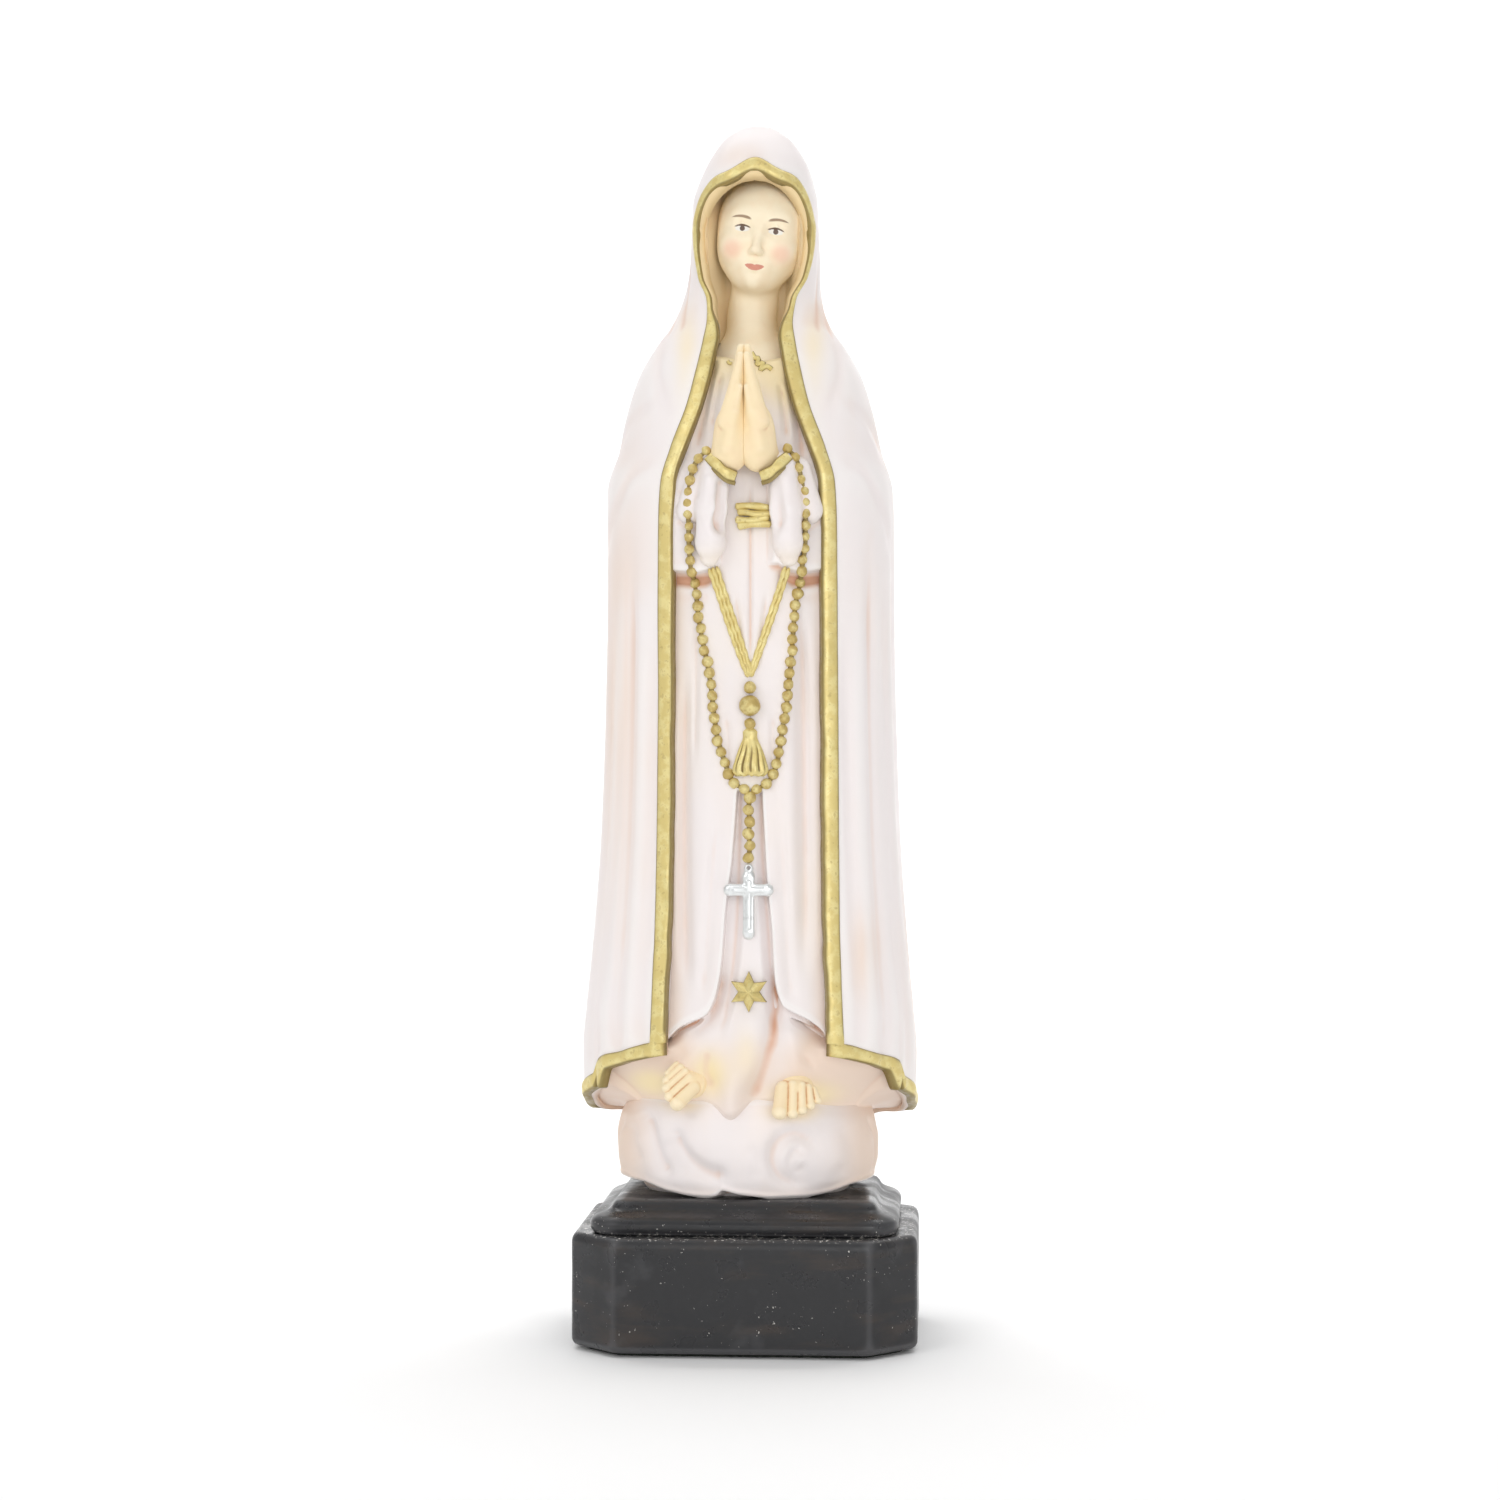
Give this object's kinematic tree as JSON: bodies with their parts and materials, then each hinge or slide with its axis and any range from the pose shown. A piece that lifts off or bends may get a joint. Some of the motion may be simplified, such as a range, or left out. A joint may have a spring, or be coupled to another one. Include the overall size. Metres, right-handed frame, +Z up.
{
  "type": "madonna statue",
  "caption": "Standing painted resin madonna in a hooded mantle, hands joined in prayer with a moulded rosary, on a cloud and a stepped plinth with cut corners.",
  "frame": {"origin": "centre of the underside, on the surface that the statue stands on", "axes": "+Z up, the figure faces -Y, +X is to the right of someone who looks at its face"},
  "size_m": [0.0566, 0.048, 0.203],
  "materials": {
    "robe_paint": "satin",
    "lining_paint": "matte",
    "skin_paint": "satin",
    "gold_paint": "satin",
    "silver_paint": "satin",
    "plinth_paint": "satin",
    "steel": "satin",
    "felt": "matte"
  },
  "bodies": {
    "root": {"felt_pad": "felt", "plinth": "plinth_paint", "plinth_cap": "plinth_paint", "fixing_rod": "steel", "cloud": "robe_paint", "right_foot": "skin_paint", "left_foot": "skin_paint", "under_gown": "robe_paint", "gown": "robe_paint", "mantle": "robe_paint", "veil_lining": "lining_paint", "edge_trim": "gold_paint", "right_hem_trim": "gold_paint", "left_hem_trim": "gold_paint", "head": "skin_paint", "right_hand": "skin_paint", "left_hand": "skin_paint", "right_sleeve": "robe_paint", "left_sleeve": "robe_paint", "right_cuff": "gold_paint", "left_cuff": "gold_paint", "collar_trim": "gold_paint", "sash_knot": "gold_paint", "right_cord": "gold_paint", "left_cord": "gold_paint", "cord_beads": "gold_paint", "tassel": "gold_paint", "right_rosary": "gold_paint", "left_rosary": "gold_paint", "rosary_pendant": "gold_paint", "cross": "silver_paint", "star": "gold_paint"}
  },
  "joints": []
}
